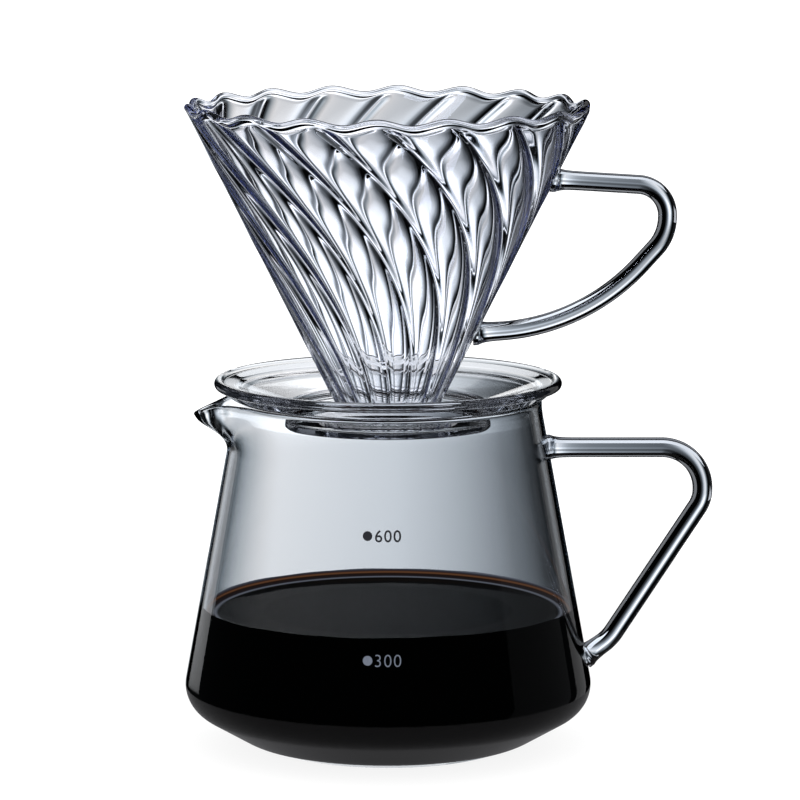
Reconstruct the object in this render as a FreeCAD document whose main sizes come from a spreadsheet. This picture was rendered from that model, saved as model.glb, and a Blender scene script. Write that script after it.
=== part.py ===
import FreeCAD, Part
import Sketcher
import math
import os
import re

# A glass pour over dripper standing on its matching glass server, in millimetres.
#
# The dripper is a fluted cone fused into a saucer, with a rod handle. The saucer has a step that
# drops into the mouth of the server, so the dripper lifts straight off. The server is a conical
# jug with a pulled spout, a rod handle, two volume marks on its front wall and coffee inside.
#
# Frame: origin at the centre of the server's foot, +Z up, spout towards -X, both handles
# towards +X. Angles round the axis are measured from -Y, the front, towards +X.

SIZES = {
    # server glass
    "foot_rad": 36.0,
    "heel_rad": 43.5,
    "heel_up": 2.6,
    "belly_rad": 61.6,
    "belly_up": 13.2,
    "belly_round": 10.0,
    "neck_rad": 45.9,
    "neck_up": 99.0,
    "mouth_rad": 45.3,
    "mouth_up": 104.0,
    "wall": 1.9,
    "floor": 3.0,
    "heel_round": 12.0,
    "inner_belly_in": 2.375,
    "inner_belly_lift": 2.09,
    "inner_heel_in": 1.14,
    "inner_heel_drop": 0.3,
    # spout, as horizontal circles from its root to its lip
    "spout_root_up": 88.0,
    "spout_root_tip": 47.5,
    "spout_root_rad": 8.0,
    "spout_low_up": 95.6,
    "spout_low_tip": 53.7,
    "spout_low_rad": 11.0,
    "spout_high_up": 100.0,
    "spout_high_tip": 57.2,
    "spout_high_rad": 13.0,
    "spout_lip_tip": 58.4,
    "spout_lip_rad": 14.0,
    "spout_start": 44.5,
    "spout_drop": 4.4,
    "spout_reach": 60.0,
    # coffee
    "coffee_up": 40.0,
    "coffee_gap": 0.05,
    # rods
    "jug_rod_rad": 3.0,
    "cup_rod_rad": 2.85,
    "weld_rad": 4.6,
    "weld_run": 5.0,
    "weld_sink": 0.5,
    "rod_sink": 3.0,
    # server handle, as the corners of its centreline
    "jug_grip_up": 89.1,
    "jug_grip_out": 93.4,
    "jug_grip_round": 12.2,
    "jug_turn_up": 73.5,
    "jug_turn_round": 10.0,
    "jug_root_out": 66.0,
    "jug_root_up": 27.0,
    "jug_root_rise": 4.4,
    "jug_root_dip": 2.6,
    "jug_root_round": 14.0,
    # dripper handle, as the corners of its centreline
    "cup_grip_up": 169.1,
    "cup_grip_out": 82.3,
    "cup_grip_end_up": 166.9,
    "cup_grip_round": 9.0,
    "cup_turn_up": 152.4,
    "cup_turn_round": 13.5,
    "cup_root_out": 57.9,
    "cup_root_up": 125.5,
    "cup_root_round": 61.0,
    "cup_end_up": 123.2,
    # saucer
    "saucer_rad": 51.5,
    "saucer_up": 110.0,
    "bead_rad": 1.45,
    "bead_tall": 2.32,
    "bead_wide": 2.61,
    "bead_round": 1.0875,
    "saucer_dish_rad": 44.5,
    "saucer_dish_up": 108.1,
    "saucer_seat_in": 42.5,
    "saucer_seat_out": 45.6,
    "seat_gap": 0.05,
    "step_rad": 30.2,
    "step_up": 95.9,
    "step_top": 100.0,
    "step_wall": 2.0,
    "step_round": 1.0,
    "step_inner_top": 102.7,
    "saucer_hole_rad": 12.0,
    # cone
    "cone_rim_rad": 59.3,
    "cone_rim_up": 189.4,
    "cone_end_rad": 12.4,
    "cone_end_up": 96.0,
    "cone_wall": 1.9,
    "lip_rad": 1.2,
    "lip_wave": 0.9,
    "lip_flare": 0.5,
    "lip_wave_run": 7.0,
    "rib_count": 18.0,
    "rib_in": 1.7,
    "rib_out": 0.15,
    "rib_power": 3.0,
    "flute_cut": 0.5,
    "rib_swirl": 64.0,
    "rib_swirl_power": 1.65,
    "rib_steps": 8.0,
    "rib_full_rad": 30.0,
    "cone_levels": 14.0,
    # printed volume marks
    "print_thick": 0.12,
    "print_sink": 0.03,
    "mark_high_up": 71.5,
    "mark_low_up": 36.4,
    "dot_rad": 1.38,
    "dot_left": 5.9,
    "digit_tall": 3.45,
    "digit_wide": 2.05,
    "digit_step": 2.65,
    "digit_stroke": 0.42,
    "bowl_low_share": 0.56,
    "bowl_high_share": 0.48,
    "bowl_high_wide": 0.92,
}

doc = FreeCAD.newDocument("PourOverDripper")


def make_sheet():
    """The driving dimensions, one alias each."""
    sheet = doc.addObject("Spreadsheet::Sheet", "Sizes")
    for row, (alias, number) in enumerate(SIZES.items(), start=1):
        sheet.set("A%d" % row, alias)
        sheet.set("B%d" % row, str(number))
        sheet.setAlias("B%d" % row, alias)
    doc.recompute()
    return sheet


sheet = make_sheet()


def cell(alias):
    return float(getattr(sheet, alias))


def linked(formula):
    """A formula in aliases, with each alias pointing at the sheet."""
    return re.sub(r"[a-z]\w*", lambda word: "Sizes." + word.group(0), formula)


def worth(formula):
    """The number that a formula in aliases gives."""
    return float(sheet.evalExpression(linked(formula)))


def bind(thing, prop, formula):
    thing.setExpression(prop, linked(formula))


def origin_plane(body, role):
    return next(f for f in body.Origin.OriginFeatures if f.Role == role)


def new_body(name):
    body = doc.addObject("PartDesign::Body", name)
    body.Label = name
    return body


def new_sketch(body, name, role):
    sketch = body.newObject("Sketcher::SketchObject", name)
    sketch.AttachmentSupport = (origin_plane(body, role), [""])
    sketch.MapMode = "FlatFace"
    return sketch


def pin_point(sketch, geometry, point, across, up, name):
    """Hold one sketch point at two formulas from the sketch's origin."""
    for kind, formula in (("DistanceX", across), ("DistanceY", up)):
        rule = sketch.addConstraint(
            Sketcher.Constraint(kind, -1, 1, geometry, point, worth(formula))
        )
        label = "%s_%s" % (name, kind[-1].lower())
        sketch.renameConstraint(rule, label)
        bind(sketch, "Constraints." + label, formula)


def pin_radius(sketch, geometry, formula, label):
    """Bind a circle's or an arc's radius to the sheet."""
    rule = sketch.addConstraint(Sketcher.Constraint("Radius", geometry, worth(formula)))
    sketch.renameConstraint(rule, label)
    bind(sketch, "Constraints." + label, formula)


def polyline(sketch, corners, closed):
    """Straight lines through corners, each corner bound to the sheet."""
    points = [FreeCAD.Vector(worth(across), worth(up), 0) for across, up in corners]
    ends = points[1:] + (points[:1] if closed else [])
    for start, end in zip(points, ends):
        sketch.addGeometry(Part.LineSegment(start, end), False)
    lines = len(ends)
    for i in range(lines if closed else lines - 1):
        sketch.addConstraint(Sketcher.Constraint("Coincident", i, 2, (i + 1) % lines, 1))
    for i, (across, up) in enumerate(corners):
        line, point = (i, 1) if i < lines else (i - 1, 2)
        pin_point(sketch, line, point, across, up, "corner%d" % i)
    return lines


def turn_profile(body, name, corners, kind):
    """A closed outline of radius and height turned about Z, added or cut."""
    sketch = new_sketch(body, name + "_outline", "XZ_Plane")
    polyline(sketch, corners, True)
    feature = body.newObject(kind, name)
    feature.Profile = sketch
    feature.ReferenceAxis = (sketch, ["V_Axis"])
    feature.Angle = 360.0
    doc.recompute()
    return feature


# How near an edge must lie to the ring that is looked for.
RING_REACH = 0.02


def round_rings(body, name, rings, radius):
    """Fillet the circular edges that lie at the given radius and height."""
    base = body.Tip
    edges = []
    for i, edge in enumerate(base.Shape.Edges, start=1):
        if not isinstance(edge.Curve, Part.Circle):
            continue
        for across, up in rings:
            near_radius = abs(edge.Curve.Radius - worth(across)) < RING_REACH
            if near_radius and abs(edge.Curve.Center.z - worth(up)) < RING_REACH:
                edges.append("Edge%d" % i)
    fillet = body.newObject("PartDesign::Fillet", name)
    fillet.Base = (base, edges)
    bind(fillet, "Radius", radius)
    doc.recompute()
    return fillet


def ring_section(body, name, up, tip, radius):
    """A horizontal circle that reaches out to tip on the -X side."""
    sketch = new_sketch(body, name, "XY_Plane")
    bind(sketch, "AttachmentOffset.Base.z", up)
    centre = FreeCAD.Vector(worth("%s - (%s)" % (radius, tip)), 0, 0)
    circle = Part.Circle(centre, FreeCAD.Vector(0, 0, 1), worth(radius))
    ring = sketch.addGeometry(circle, False)
    pin_point(sketch, ring, 3, "%s - (%s)" % (radius, tip), "0", "centre")
    pin_radius(sketch, ring, radius, "reach")
    return sketch


def loft_spout(body, name, kind, inset, top):
    """The spout's horn from its root to above the mouth, inset by a wall's thickness."""
    levels = [
        ("spout_root_up", "spout_root_tip", "spout_root_rad"),
        ("spout_low_up", "spout_low_tip", "spout_low_rad"),
        ("spout_high_up", "spout_high_tip", "spout_high_rad"),
        (top, "spout_lip_tip", "spout_lip_rad"),
    ]
    sections = [
        ring_section(
            body,
            "%s_ring%d" % (name, i),
            up,
            "%s - %s" % (tip, inset),
            "(%s - %s)" % (radius, inset),
        )
        for i, (up, tip, radius) in enumerate(levels)
    ]
    doc.recompute()
    loft = body.newObject(kind, name)
    loft.Profile = sections[0]
    loft.Sections = sections[1:]
    doc.recompute()
    return loft


# The lean of the server's wall and the corners inside its belly and its heel.
WALL_LEAN = "(belly_rad - neck_rad) / (neck_up - belly_up)"
INNER_BELLY = "belly_rad - inner_belly_in"
INNER_BELLY_UP = "belly_up + inner_belly_lift"
INNER_HEEL = "heel_rad - inner_heel_in"
INNER_HEEL_UP = "heel_up + floor - inner_heel_drop"


def make_server_body():
    """Conical jug, turned outside and inside, with a spout pulled out of its mouth."""
    body = new_body("server_body")
    outside = [
        ("0", "0"),
        ("foot_rad", "0"),
        ("heel_rad", "heel_up"),
        ("belly_rad", "belly_up"),
        ("neck_rad", "neck_up"),
        ("mouth_rad", "mouth_up"),
        ("0", "mouth_up"),
    ]
    turn_profile(body, "jug", outside, "PartDesign::Revolution")
    round_rings(body, "belly_fillet", [("belly_rad", "belly_up")], "belly_round")
    round_rings(body, "heel_fillet", [("heel_rad", "heel_up")], "heel_round")
    loft_spout(body, "spout", "PartDesign::AdditiveLoft", "0", "mouth_up")
    inside = [
        ("0", "floor"),
        ("foot_rad", "floor"),
        (INNER_HEEL, INNER_HEEL_UP),
        (INNER_BELLY, INNER_BELLY_UP),
        ("neck_rad - wall", "neck_up"),
        ("mouth_rad - wall", "mouth_up + wall"),
        ("0", "mouth_up + wall"),
    ]
    turn_profile(body, "jug_inside", inside, "PartDesign::Groove")
    round_rings(
        body, "inner_belly_fillet", [(INNER_BELLY, INNER_BELLY_UP)], "belly_round - wall"
    )
    loft_spout(body, "spout_inside", "PartDesign::SubtractiveLoft", "wall", "mouth_up + wall")
    trim_spout(body)
    return body


def trim_spout(body):
    """Slope the mouth down to the spout's tip."""
    sketch = new_sketch(body, "spout_slope", "XZ_Plane")
    corners = [
        ("0 - spout_start", "mouth_up"),
        ("0 - spout_reach", "mouth_up - spout_drop"),
        ("0 - spout_reach", "mouth_up + wall"),
        ("0 - spout_start", "mouth_up + wall"),
    ]
    polyline(sketch, corners, True)
    cut = body.newObject("PartDesign::Pocket", "spout_trim")
    cut.Profile = sketch
    cut.Type = 1
    cut.Midplane = True
    doc.recompute()


def make_coffee():
    """Coffee up to its level, a hair clear of the jug's inner wall."""
    body = new_body("coffee")
    top_rad = "%s - coffee_gap - (%s) * (coffee_up - (%s))" % (
        INNER_BELLY,
        WALL_LEAN,
        INNER_BELLY_UP,
    )
    outline = [
        ("0", "floor + coffee_gap"),
        ("foot_rad", "floor + coffee_gap"),
        (INNER_HEEL, INNER_HEEL_UP + " + coffee_gap"),
        (INNER_BELLY + " - coffee_gap", INNER_BELLY_UP),
        (top_rad, "coffee_up"),
        ("0", "coffee_up"),
    ]
    turn_profile(body, "brew", outline, "PartDesign::Revolution")
    ring = [(INNER_BELLY + " - coffee_gap", INNER_BELLY_UP)]
    round_rings(body, "brew_fillet", ring, "belly_round - wall")
    return body


def round_corners(path, rounds):
    """Replace the inner corners of an open polyline by tangent arcs of bound radii."""
    for i, radius in enumerate(rounds):
        path.fillet(i, 2, worth(radius), True, True)
        arcs = [n for n, g in enumerate(path.Geometry) if isinstance(g, Part.ArcOfCircle)]
        pin_radius(path, arcs[-1], radius, "round%d" % i)


def rod_along(name, corners, rounds, thick):
    """A round glass rod swept along a centreline whose corners are rounded."""
    body = new_body(name)
    path = new_sketch(body, name + "_path", "XZ_Plane")
    polyline(path, corners, False)
    round_corners(path, rounds)
    profile = new_sketch(body, name + "_section", "YZ_Plane")
    bind(profile, "AttachmentOffset.Base.y", corners[0][1])
    bind(profile, "AttachmentOffset.Base.z", corners[0][0])
    ring = Part.Circle(FreeCAD.Vector(0, 0, 0), FreeCAD.Vector(0, 0, 1), cell(thick))
    profile.addGeometry(ring, False)
    pin_point(profile, 0, 3, "0", "0", "centre")
    pin_radius(profile, 0, thick, "reach")
    doc.recompute()
    pipe = body.newObject("PartDesign::AdditivePipe", name + "_rod")
    pipe.Profile = profile
    edges = len([g for g in path.Geometry if not isinstance(g, Part.Point)])
    pipe.Spine = (path, ["Edge%d" % (i + 1) for i in range(edges)])
    doc.recompute()
    return body


def weld(name, out, up, thick):
    """The flare of glass where a rod meets a wall."""
    flare = doc.addObject("Part::Cone", name)
    bind(flare, "Radius1", "weld_rad")
    bind(flare, "Radius2", thick)
    bind(flare, "Height", "weld_run")
    flare.Placement.Rotation = FreeCAD.Rotation(FreeCAD.Vector(0, 1, 0), 90)
    bind(flare, "Placement.Base.x", out)
    bind(flare, "Placement.Base.z", up)
    return flare


def wall_tool(name, low_rad, low_up, high_rad, high_up):
    """A solid cone on the axis whose surface is just inside a wall's outer face."""
    cone = doc.addObject("Part::Cone", name)
    bind(cone, "Radius1", "%s - weld_sink" % low_rad)
    bind(cone, "Radius2", "%s - weld_sink" % high_rad)
    bind(cone, "Height", "%s - (%s)" % (high_up, low_up))
    bind(cone, "Placement.Base.z", low_up)
    return cone


def join_and_trim(name, pieces, tool):
    """Fuse the pieces and cut them to the wall that they are fused to."""
    joined = doc.addObject("Part::MultiFuse", name + "_joined")
    joined.Shapes = pieces
    trimmed = doc.addObject("Part::Cut", name)
    trimmed.Base = joined
    trimmed.Tool = tool
    trimmed.Refine = True
    trimmed.Label = name
    return trimmed


def make_server_handle():
    """Angular loop of rod from the shoulder of the jug out and back to its belly."""
    top_wall = "(belly_rad - (%s) * (jug_grip_up - belly_up))" % WALL_LEAN
    low_wall = "(belly_rad - (%s) * (jug_root_up - belly_up))" % WALL_LEAN
    corners = [
        (top_wall + " - rod_sink", "jug_grip_up"),
        ("jug_grip_out", "jug_grip_up"),
        ("jug_grip_out", "jug_turn_up"),
        ("jug_root_out", "jug_root_up + jug_root_rise"),
        (low_wall + " - rod_sink", "jug_root_up - jug_root_dip"),
    ]
    rounds = ["jug_grip_round", "jug_turn_round", "jug_root_round"]
    rod = rod_along("jug_rod", corners, rounds, "jug_rod_rad")
    welds = [
        weld("jug_weld_high", top_wall + " - weld_sink", "jug_grip_up", "jug_rod_rad"),
        weld("jug_weld_low", low_wall + " - weld_sink", "jug_root_up", "jug_rod_rad"),
    ]
    tool = wall_tool("jug_wall_tool", "belly_rad", "belly_up", "neck_rad", "neck_up")
    return join_and_trim("server_handle", [rod] + welds, tool)


CONE_SLOPE = "(cone_rim_rad - cone_end_rad) / (cone_rim_up - cone_end_up)"


def make_dripper_handle():
    """Ear-shaped loop of rod from high on the cone out and back to its lower part."""
    wall_at = "(cone_end_rad + (%s) * (%%s - cone_end_up))" % CONE_SLOPE
    top_wall = wall_at % "cup_grip_up"
    low_wall = wall_at % "cup_end_up"
    corners = [
        (top_wall + " - rod_sink", "cup_grip_up"),
        ("cup_grip_out", "cup_grip_end_up"),
        ("cup_grip_out", "cup_turn_up"),
        ("cup_root_out", "cup_root_up"),
        (low_wall + " - rod_sink", "cup_end_up"),
    ]
    rounds = ["cup_grip_round", "cup_turn_round", "cup_root_round"]
    rod = rod_along("cup_rod", corners, rounds, "cup_rod_rad")
    welds = [
        weld("cup_weld_high", top_wall + " - weld_sink", "cup_grip_up", "cup_rod_rad"),
        weld("cup_weld_low", low_wall + " - weld_sink", "cup_end_up", "cup_rod_rad"),
    ]
    tool = wall_tool(
        "cup_wall_tool", "cone_end_rad", "cone_end_up", "cone_rim_rad", "cone_rim_up"
    )
    return join_and_trim("dripper_handle", [rod] + welds, tool)


def make_dripper_base():
    """Saucer with a beaded edge, a seat for the server's mouth and a step that drops into it."""
    body = new_body("dripper_base")
    outline = [
        ("saucer_hole_rad", "step_up"),
        ("step_rad", "step_up"),
        ("step_rad", "step_top"),
        ("saucer_seat_in", "mouth_up + seat_gap"),
        ("saucer_seat_out", "mouth_up + seat_gap"),
        ("saucer_rad - 2 * bead_rad", "saucer_up - 2 * bead_rad"),
        ("saucer_rad", "saucer_up - bead_tall"),
        ("saucer_rad", "saucer_up"),
        ("saucer_rad - bead_wide", "saucer_up"),
        ("saucer_dish_rad", "saucer_dish_up"),
        ("step_rad - step_wall", "step_inner_top"),
        ("step_rad - step_wall", "step_up + step_wall"),
        ("saucer_hole_rad", "step_up + step_wall"),
    ]
    turn_profile(body, "saucer", outline, "PartDesign::Revolution")
    bead_edges = [
        ("saucer_rad", "saucer_up - bead_tall"),
        ("saucer_rad", "saucer_up"),
        ("saucer_rad - bead_wide", "saucer_up"),
    ]
    round_rings(body, "bead_fillet", bead_edges, "bead_round")
    step_edges = [
        ("step_rad", "step_up"),
        ("step_rad - step_wall", "step_inner_top"),
        ("step_rad - step_wall", "step_up + step_wall"),
    ]
    round_rings(body, "step_fillet", step_edges, "step_round")
    return body


def swirl_at(up):
    """How far the ribs have turned at a height, in degrees: fast near the rim, slow below."""
    left = (up - cell("cone_end_up")) / (cell("cone_rim_up") - cell("cone_end_up"))
    left = min(max(left, 0.0), 1.0)
    return cell("rib_swirl") * (1.0 - left ** cell("rib_swirl_power"))


def rib_profile(phase):
    """0 midway between two ribs, 1 on a rib's crest, along a hollow curve."""
    off = abs((phase + math.pi) % (2 * math.pi) - math.pi) / math.pi
    return (1.0 - off) ** cell("rib_power")


def fluted_ring(radius, up, rib):
    """Points round the axis that follow the ribs; rib is how far a crest stands out."""
    ribs = int(cell("rib_count"))
    per_rib = int(cell("rib_steps"))
    below_rim = max(cell("cone_rim_up") - up, 0.0)
    rim_share = math.exp(-below_rim / cell("lip_wave_run")) if up > cell("saucer_up") else 0.0
    points = []
    for step in range(ribs * per_rib):
        phase = 2 * math.pi * step / per_rib
        angle = math.radians(swirl_at(up)) + phase / ribs
        wave = rim_share * math.cos(phase)
        reach = radius + rib * rib_profile(phase) + cell("lip_flare") * wave
        lift = cell("lip_wave") * wave
        points.append(
            FreeCAD.Vector(reach * math.sin(angle), -reach * math.cos(angle), up + lift)
        )
    return points


# Control points of the lip: across its middle in half walls, and up in lip radii.
LIP_POLES = [(1.0, 0.0), (1.15, 0.8), (0.6, 1.5), (-0.6, 1.5), (-1.15, 0.8), (-1.0, 0.0)]


def cone_rings():
    """Rings of points up the outside of the cone's wall, over its lip and down the inside."""
    low, high = cell("cone_end_up"), cell("cone_rim_up")
    slope = worth(CONE_SLOPE)
    across = cell("cone_wall") / math.cos(math.atan(slope))
    panel = across - cell("flute_cut")
    outer = []
    inner = []
    levels = int(cell("cone_levels"))
    for i in range(levels):
        up = low + (high - low) * i / levels
        radius = cell("cone_end_rad") + slope * (up - low)
        share = min(1.0, radius / cell("rib_full_rad"))
        outer.append(fluted_ring(radius, up, cell("rib_out") * share))
        inner.append(fluted_ring(radius - panel, up, -cell("rib_in") * share))
    half = across / 2
    lip = [
        fluted_ring(cell("cone_rim_rad") - half + out * half, high + up * cell("lip_rad"), 0.0)
        for out, up in LIP_POLES
    ]
    return outer + lip + inner[::-1]


def closed_curve(poles):
    """A smooth closed curve with the given control points."""
    curve = Part.BSplineCurve()
    count = len(poles)
    curve.buildFromPolesMultsKnots(
        poles, [1] * (count + 1), [float(i) for i in range(count + 1)], True, 3
    )
    return Part.Wire([curve.toShape()])


def closed_skin(rings):
    """A smooth skin over rings of control points, closed round the axis."""
    around, along = len(rings[0]), len(rings)
    poles = [[ring[i] for ring in rings] for i in range(around)]
    skin = Part.BSplineSurface()
    skin.buildFromPolesMultsKnots(
        poles,
        [1] * (around + 1),
        [4] + [1] * (along - 4) + [4],
        [float(i) for i in range(around + 1)],
        [float(i) for i in range(along - 2)],
        True,
        False,
        3,
        3,
    )
    return skin.toShape()


def make_cone():
    """Conical glass wall with swirling ribs inside, open at both ends, with a wavy round lip."""
    rings = cone_rings()
    edges = [closed_curve(rings[0]), closed_curve(rings[-1])]
    end_face = Part.makeFace(edges, "Part::FaceMakerBullseye")
    shell = Part.makeShell([closed_skin(rings)] + end_face.Faces)
    shell.sewShape()
    solid = Part.Solid(shell)
    if solid.Volume < 0:
        solid.reverse()
    cone = doc.addObject("Part::Feature", "dripper_cone")
    cone.Label = "dripper_cone"
    cone.Shape = solid
    return cone


def arc_wire(centre_up, wide, tall, start, end):
    """Part of an upright ellipse, from one angle to another in degrees, about x = 0."""
    upright = tall >= wide
    ellipse = Part.Ellipse(FreeCAD.Vector(0, 0, 0), max(wide, tall), min(wide, tall))
    turn = -90 if upright else 0
    edge = Part.ArcOfEllipse(ellipse, math.radians(start + turn), math.radians(end + turn))
    shape = edge.toShape()
    shape.rotate(FreeCAD.Vector(0, 0, 0), FreeCAD.Vector(0, 0, 1), -turn)
    shape.translate(FreeCAD.Vector(0, centre_up, 0))
    return Part.Wire([shape])


def stroke(wire, closed):
    """A printed stroke of even width along a wire in the XY plane."""
    half = cell("digit_stroke") / 2
    if closed:
        outside = wire.makeOffset2D(half)
        inside = wire.makeOffset2D(-half)
        return Part.makeFace([outside, inside], "Part::FaceMakerBullseye")
    return wire.makeOffset2D(half, 0, True, True)


# Where the open strokes of the digits start and end, in degrees.
SIX_HOOK = (55, 190)
THREE_HIGH = (-90, 150)
THREE_LOW = (-150, 90)


def digit_faces(digit):
    """Flat strokes of one digit, its foot at y = 0 and its centre at x = 0."""
    half_stroke = cell("digit_stroke") / 2
    tall = cell("digit_tall") / 2 - half_stroke
    wide = cell("digit_wide") / 2 - half_stroke
    middle = cell("digit_tall") / 2
    bowl = tall * cell("bowl_low_share")
    top_bowl = tall * cell("bowl_high_share")
    top_wide = wide * cell("bowl_high_wide")
    low = half_stroke + bowl
    high = cell("digit_tall") - half_stroke - top_bowl
    shapes = {
        "0": [(arc_wire(middle, wide, tall, 0, 360), True)],
        "6": [
            (arc_wire(low, wide, bowl, 0, 360), True),
            (arc_wire(middle, wide, tall, *SIX_HOOK), False),
        ],
        "3": [
            (arc_wire(high, top_wide, top_bowl, *THREE_HIGH), False),
            (arc_wire(low, wide, bowl, *THREE_LOW), False),
        ],
    }
    return [stroke(wire, closed) for wire, closed in shapes[digit]]


def flat_mark(digits):
    """A dot and a number, drawn flat in the XY plane."""
    dot = Part.Circle(
        FreeCAD.Vector(-cell("dot_left"), cell("digit_tall") / 2, 0),
        FreeCAD.Vector(0, 0, 1),
        cell("dot_rad"),
    )
    faces = [Part.Face(Part.Wire([dot.toShape()]))]
    for place, digit in enumerate(digits):
        for face in digit_faces(digit):
            face.translate(FreeCAD.Vector((place - 1) * cell("digit_step"), 0, 0))
            faces.append(face)
    return faces


def make_mark(name, digits, up):
    """A printed volume mark: flat strokes pushed through the skin of the front wall."""
    upright = FreeCAD.Rotation(FreeCAD.Vector(1, 0, 0), 90)
    base = FreeCAD.Vector(0, -cell("belly_rad"), cell(up) - cell("digit_tall") / 2)
    place = FreeCAD.Placement(base, upright)
    prisms = []
    for face in flat_mark(digits):
        face.Placement = place.multiply(face.Placement)
        prisms.append(face.extrude(FreeCAD.Vector(0, cell("belly_rad") / 2, 0)))
    joined = prisms[0].multiFuse(prisms[1:]) if len(prisms) > 1 else prisms[0]
    lean = worth(WALL_LEAN)
    low = cell(up) - cell("digit_tall")
    high = cell(up) + cell("digit_tall")
    low_rad = cell("belly_rad") - lean * (low - cell("belly_up"))
    high_rad = cell("belly_rad") - lean * (high - cell("belly_up"))
    foot = FreeCAD.Vector(0, 0, low)
    proud, sunk = cell("print_thick"), cell("print_sink")
    skin = Part.makeCone(low_rad + proud, high_rad + proud, high - low, foot)
    skin = skin.cut(Part.makeCone(low_rad - sunk, high_rad - sunk, high - low, foot))
    mark = doc.addObject("Part::Feature", name)
    mark.Label = name
    mark.Shape = joined.common(skin)
    return mark


def check(nodes):
    """Stop if any object failed or any node's shape is not a sound solid."""
    doc.recompute()
    failed = [t.Name for t in doc.Objects if "Invalid" in t.State or "Error" in t.State]
    if failed:
        raise RuntimeError("these objects failed: %s" % ", ".join(failed))
    for node in nodes:
        shape = node.Shape
        if shape.isNull() or not shape.isValid() or not shape.Solids:
            raise RuntimeError("%s has no sound shape" % node.Label)
        if shape.Volume <= 0:
            raise RuntimeError("%s has no volume" % node.Label)


def write(nodes):
    os.makedirs("parts", exist_ok=True)
    for node in nodes:
        node.Shape.exportStep("parts/%s.step" % node.Label)
        box = node.Shape.BoundBox
        print(
            "%-18s %d solid(s) %9.0f mm3  x %.1f %.1f  y %.1f %.1f  z %.1f %.1f"
            % (
                node.Label,
                len(node.Shape.Solids),
                node.Shape.Volume,
                box.XMin,
                box.XMax,
                box.YMin,
                box.YMax,
                box.ZMin,
                box.ZMax,
            )
        )


nodes = [
    make_server_body(),
    make_server_handle(),
    make_coffee(),
    make_mark("volume_mark_600", "600", "mark_high_up"),
    make_mark("volume_mark_300", "300", "mark_low_up"),
    make_dripper_base(),
    make_cone(),
    make_dripper_handle(),
]
check(nodes)
write(nodes)
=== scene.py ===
import math

import bpy
import numpy as np
from mathutils import Matrix, Vector


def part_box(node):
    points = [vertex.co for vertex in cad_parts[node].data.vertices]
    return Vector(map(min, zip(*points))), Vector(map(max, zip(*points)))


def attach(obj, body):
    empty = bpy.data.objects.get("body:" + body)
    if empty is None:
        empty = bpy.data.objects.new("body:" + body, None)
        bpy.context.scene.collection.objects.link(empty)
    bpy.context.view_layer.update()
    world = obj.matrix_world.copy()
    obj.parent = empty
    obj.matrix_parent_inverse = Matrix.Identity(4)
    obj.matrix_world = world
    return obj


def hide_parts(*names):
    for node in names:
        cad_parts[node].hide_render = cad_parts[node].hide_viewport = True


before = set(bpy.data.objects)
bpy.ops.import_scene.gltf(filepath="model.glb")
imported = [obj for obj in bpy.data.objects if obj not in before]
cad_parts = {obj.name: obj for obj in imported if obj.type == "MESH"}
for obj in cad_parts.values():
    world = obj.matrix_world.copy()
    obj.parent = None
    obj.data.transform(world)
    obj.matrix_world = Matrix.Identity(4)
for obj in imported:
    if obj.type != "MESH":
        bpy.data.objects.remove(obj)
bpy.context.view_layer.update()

# ---------------------------------------------------------------- sizes, in metres
MM = 0.001
_, BODY_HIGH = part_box("server_body")
BASE_LOW, BASE_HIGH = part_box("dripper_base")
CONE_LOW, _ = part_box("dripper_cone")

# Server glass: radius and height of its corners, and their rounding from the foot up.
AXIS_RAD = 0.4 * MM
FOOT_RAD = 36.0 * MM
HEEL = (43.5 * MM, 2.6 * MM)
BELLY = (61.58 * MM, 13.2 * MM)
BELLY_ROUND = 10.0 * MM
NECK = (45.9 * MM, 99.0 * MM)
WALL = 1.9 * MM
FLOOR = 3.0 * MM
INNER_HEEL = (HEEL[0] - 0.6 * WALL, HEEL[1] + FLOOR - 0.3 * MM)
INNER_BELLY = (BELLY[0] - 1.25 * WALL, BELLY[1] + 1.1 * WALL)
OUTER_ROUNDS = [6.0 * MM, 14.0 * MM, BELLY_ROUND, 12.0 * MM]
INNER_ROUNDS = [8.0 * MM, 10.0 * MM, BELLY_ROUND - WALL]

# Rolled rim: the mouth, the bead's radius, how far in its centre is and how far down it starts.
MOUTH_RAD = 45.3 * MM
MOUTH_UP = BODY_HIGH.z
RIM_BEAD = 1.15 * MM
RIM_BEAD_IN = 0.85 * MM
RIM_BEAD_ROOT = 2.6 * MM

# Spout: how far it stands out of the mouth and where that starts, how far its lip drops and where
# that starts, how far off the axis both are full, and the widths of its nose, flare and drop.
SPOUT_OUT = 12.1 * MM
SPOUT_ROOT = 88.5 * MM
SPOUT_DROP = 3.9 * MM
SPOUT_DROP_ROOT = 90.0 * MM
SPOUT_SIDE = 20.0 * MM
NOSE_SHARE = 0.42
NOSE_WIDTH = 3.4 * MM
FLARE_WIDTH = 15.0 * MM
NARROW_DROP = 3.2 * MM
WIDE_DROP = 11.0 * MM

# Coffee: its level, how far it reaches into the glass, the height, width and rings of its meniscus,
# how uneven that is (share, waves round the glass, lag in radians) and what its surface mirrors.
COFFEE_UP = 40.0 * MM
COFFEE_OVERLAP = 0.15 * MM
MENISCUS = 2.4 * MM
MENISCUS_RUN = 1.5 * MM
MENISCUS_RINGS = np.linspace(0.05, 9.0, 40) ** 1.3 * MM
MENISCUS_RIPPLE = 0.25 * MM
RIPPLE_WAVES = [(0.5, 3, 0.6), (0.3, 8, 0.0), (0.2, 19, 2.0)]
COFFEE_IOR = 1.018
COFFEE_SHEEN = (0.97, 0.77, 1.0, 1)

# Cone: radius and height of its rim and outlet, and its wall.
RIM_RAD = 59.3 * MM
RIM_UP = 189.4 * MM
END_RAD = 12.4 * MM
END_UP = CONE_LOW.z
CONE_WALL = 1.9 * MM

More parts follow.
